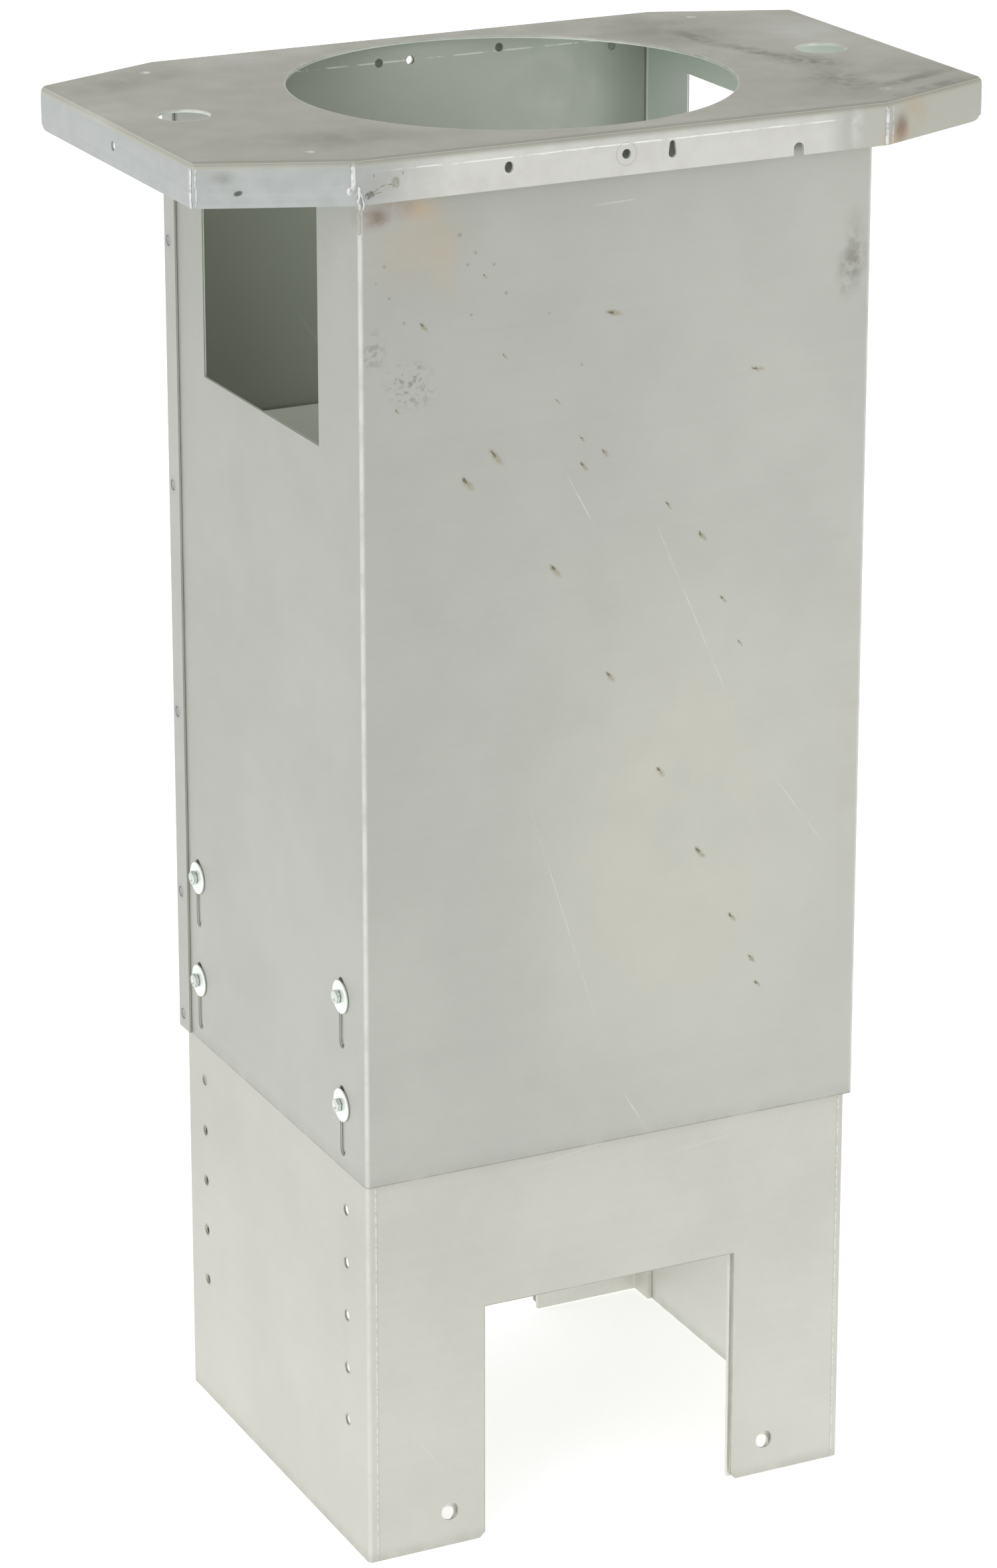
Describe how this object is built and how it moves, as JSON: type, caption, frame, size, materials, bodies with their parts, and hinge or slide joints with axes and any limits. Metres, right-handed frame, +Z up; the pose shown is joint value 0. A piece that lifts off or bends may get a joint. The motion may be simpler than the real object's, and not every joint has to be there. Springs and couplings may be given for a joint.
{
  "type": "adjustable-height floor riser housing",
  "caption": "Telescoping sheet-steel riser housing: flanged octagonal top plate with a round opening, side windows, and a legged sleeve clamped by screws in slots.",
  "frame": {"origin": "centre of the sleeve on the floor", "axes": "+X along the top plate's long side, -Y the front, +Z up"},
  "size_m": [0.5612, 0.3314, 0.961],
  "materials": {
    "foot_angle_front_left_lap_steel": "galvanneal",
    "foot_angle_front_left_outer_steel": "galvanneal",
    "foot_angle_rear_right_lap_steel": "galvanneal",
    "foot_angle_rear_right_outer_steel": "galvanneal",
    "lip_weld_front_left_metal": "ground weld",
    "lip_weld_front_right_metal": "ground weld",
    "lip_weld_left_front_metal": "ground weld",
    "lip_weld_left_rear_metal": "ground weld",
    "lip_weld_rear_left_metal": "ground weld",
    "lip_weld_rear_right_metal": "ground weld",
    "lip_weld_right_front_metal": "ground weld",
    "lip_weld_right_rear_metal": "ground weld",
    "nut_left_front_lower_zinc": "bright zinc plate",
    "nut_left_front_upper_zinc": "bright zinc plate",
    "nut_left_rear_lower_zinc": "bright zinc plate",
    "nut_left_rear_upper_zinc": "bright zinc plate",
    "nut_right_front_lower_zinc": "bright zinc plate",
    "nut_right_front_upper_zinc": "bright zinc plate",
    "nut_right_rear_lower_zinc": "bright zinc plate",
    "nut_right_rear_upper_zinc": "bright zinc plate",
    "screw_left_front_lower_zinc": "bright zinc plate",
    "screw_left_front_upper_zinc": "bright zinc plate",
    "screw_left_rear_lower_zinc": "bright zinc plate",
    "screw_left_rear_upper_zinc": "bright zinc plate",
    "screw_right_front_lower_zinc": "bright zinc plate",
    "screw_right_front_upper_zinc": "bright zinc plate",
    "screw_right_rear_lower_zinc": "bright zinc plate",
    "screw_right_rear_upper_zinc": "bright zinc plate",
    "seam_plug_left_1_metal": "ground weld",
    "seam_plug_left_2_metal": "ground weld",
    "seam_plug_left_3_metal": "ground weld",
    "seam_plug_left_4_metal": "ground weld",
    "seam_plug_left_5_metal": "ground weld",
    "seam_plug_right_1_metal": "ground weld",
    "seam_plug_right_2_metal": "ground weld",
    "seam_plug_right_3_metal": "ground weld",
    "seam_plug_right_4_metal": "ground weld",
    "seam_plug_right_5_metal": "ground weld",
    "shell_front_steel": "weathered galvanneal",
    "shell_rear_steel": "weathered galvanneal",
    "sleeve_front_left_steel": "galvanneal",
    "sleeve_rear_right_steel": "galvanneal",
    "sleeve_weld_front_left_1_metal": "ground weld",
    "sleeve_weld_front_left_2_metal": "ground weld",
    "sleeve_weld_rear_right_1_metal": "ground weld",
    "sleeve_weld_rear_right_2_metal": "ground weld",
    "top_plate_steel": "weathered galvanneal",
    "top_weld_front_metal": "ground weld",
    "top_weld_left_metal": "ground weld",
    "top_weld_rear_metal": "ground weld",
    "top_weld_right_metal": "ground weld",
    "washer_left_front_lower_zinc": "bright zinc plate",
    "washer_left_front_upper_zinc": "bright zinc plate",
    "washer_left_rear_lower_zinc": "bright zinc plate",
    "washer_left_rear_upper_zinc": "bright zinc plate",
    "washer_right_front_lower_zinc": "bright zinc plate",
    "washer_right_front_upper_zinc": "bright zinc plate",
    "washer_right_rear_lower_zinc": "bright zinc plate",
    "washer_right_rear_upper_zinc": "bright zinc plate"
  },
  "bodies": {
    "sleeve": {"sleeve_front_left": "sleeve_front_left_steel", "sleeve_rear_right": "sleeve_rear_right_steel", "foot_angle_front_left_lap": "foot_angle_front_left_lap_steel", "foot_angle_front_left_outer": "foot_angle_front_left_outer_steel", "foot_angle_rear_right_lap": "foot_angle_rear_right_lap_steel", "foot_angle_rear_right_outer": "foot_angle_rear_right_outer_steel", "sleeve_weld_front_left_1": "sleeve_weld_front_left_1_metal", "sleeve_weld_front_left_2": "sleeve_weld_front_left_2_metal", "sleeve_weld_rear_right_1": "sleeve_weld_rear_right_1_metal", "sleeve_weld_rear_right_2": "sleeve_weld_rear_right_2_metal", "nut_left_front_lower": "nut_left_front_lower_zinc", "nut_left_front_upper": "nut_left_front_upper_zinc", "nut_left_rear_lower": "nut_left_rear_lower_zinc", "nut_left_rear_upper": "nut_left_rear_upper_zinc", "nut_right_front_lower": "nut_right_front_lower_zinc", "nut_right_front_upper": "nut_right_front_upper_zinc", "nut_right_rear_lower": "nut_right_rear_lower_zinc", "nut_right_rear_upper": "nut_right_rear_upper_zinc"},
    "shell": {"top_plate": "top_plate_steel", "shell_front": "shell_front_steel", "shell_rear": "shell_rear_steel", "lip_weld_front_left": "lip_weld_front_left_metal", "lip_weld_front_right": "lip_weld_front_right_metal", "lip_weld_right_front": "lip_weld_right_front_metal", "lip_weld_right_rear": "lip_weld_right_rear_metal", "lip_weld_rear_right": "lip_weld_rear_right_metal", "lip_weld_rear_left": "lip_weld_rear_left_metal", "lip_weld_left_rear": "lip_weld_left_rear_metal", "lip_weld_left_front": "lip_weld_left_front_metal", "top_weld_front": "top_weld_front_metal", "top_weld_left": "top_weld_left_metal", "top_weld_rear": "top_weld_rear_metal", "top_weld_right": "top_weld_right_metal", "seam_plug_left_1": "seam_plug_left_1_metal", "seam_plug_left_2": "seam_plug_left_2_metal", "seam_plug_left_3": "seam_plug_left_3_metal", "seam_plug_left_4": "seam_plug_left_4_metal", "seam_plug_left_5": "seam_plug_left_5_metal", "seam_plug_right_1": "seam_plug_right_1_metal", "seam_plug_right_2": "seam_plug_right_2_metal", "seam_plug_right_3": "seam_plug_right_3_metal", "seam_plug_right_4": "seam_plug_right_4_metal", "seam_plug_right_5": "seam_plug_right_5_metal"},
    "screw_set_left_front_lower": {"screw_left_front_lower": "screw_left_front_lower_zinc", "washer_left_front_lower": "washer_left_front_lower_zinc"},
    "screw_set_left_front_upper": {"screw_left_front_upper": "screw_left_front_upper_zinc", "washer_left_front_upper": "washer_left_front_upper_zinc"},
    "screw_set_left_rear_lower": {"screw_left_rear_lower": "screw_left_rear_lower_zinc", "washer_left_rear_lower": "washer_left_rear_lower_zinc"},
    "screw_set_left_rear_upper": {"screw_left_rear_upper": "screw_left_rear_upper_zinc", "washer_left_rear_upper": "washer_left_rear_upper_zinc"},
    "screw_set_right_front_lower": {"screw_right_front_lower": "screw_right_front_lower_zinc", "washer_right_front_lower": "washer_right_front_lower_zinc"},
    "screw_set_right_front_upper": {"screw_right_front_upper": "screw_right_front_upper_zinc", "washer_right_front_upper": "washer_right_front_upper_zinc"},
    "screw_set_right_rear_lower": {"screw_right_rear_lower": "screw_right_rear_lower_zinc", "washer_right_rear_lower": "washer_right_rear_lower_zinc"},
    "screw_set_right_rear_upper": {"screw_right_rear_upper": "screw_right_rear_upper_zinc", "washer_right_rear_upper": "washer_right_rear_upper_zinc"}
  },
  "joints": [
    {"name": "height_slide", "type": "slide", "parent": "sleeve", "child": "shell", "axis": [0, 0, 1], "range_m": [-0.0095, 0.0334]},
    {"name": "screw_turn_left_front_lower", "type": "hinge", "parent": "sleeve", "child": "screw_set_left_front_lower", "pos_m": [-0.184, -0.1188, 0.3201], "axis": [-1, 0, 0], "range_deg": [0, 720]},
    {"name": "screw_turn_left_front_upper", "type": "hinge", "parent": "sleeve", "child": "screw_set_left_front_upper", "pos_m": [-0.184, -0.1188, 0.3963], "axis": [-1, 0, 0], "range_deg": [0, 720]},
    {"name": "screw_turn_left_rear_lower", "type": "hinge", "parent": "sleeve", "child": "screw_set_left_rear_lower", "pos_m": [-0.184, 0.1188, 0.3201], "axis": [-1, 0, 0], "range_deg": [0, 720]},
    {"name": "screw_turn_left_rear_upper", "type": "hinge", "parent": "sleeve", "child": "screw_set_left_rear_upper", "pos_m": [-0.184, 0.1188, 0.3963], "axis": [-1, 0, 0], "range_deg": [0, 720]},
    {"name": "screw_turn_right_front_lower", "type": "hinge", "parent": "sleeve", "child": "screw_set_right_front_lower", "pos_m": [0.184, -0.1188, 0.3201], "axis": [1, 0, 0], "range_deg": [0, 720]},
    {"name": "screw_turn_right_front_upper", "type": "hinge", "parent": "sleeve", "child": "screw_set_right_front_upper", "pos_m": [0.184, -0.1188, 0.3963], "axis": [1, 0, 0], "range_deg": [0, 720]},
    {"name": "screw_turn_right_rear_lower", "type": "hinge", "parent": "sleeve", "child": "screw_set_right_rear_lower", "pos_m": [0.184, 0.1188, 0.3201], "axis": [1, 0, 0], "range_deg": [0, 720]},
    {"name": "screw_turn_right_rear_upper", "type": "hinge", "parent": "sleeve", "child": "screw_set_right_rear_upper", "pos_m": [0.184, 0.1188, 0.3963], "axis": [1, 0, 0], "range_deg": [0, 720]}
  ]
}
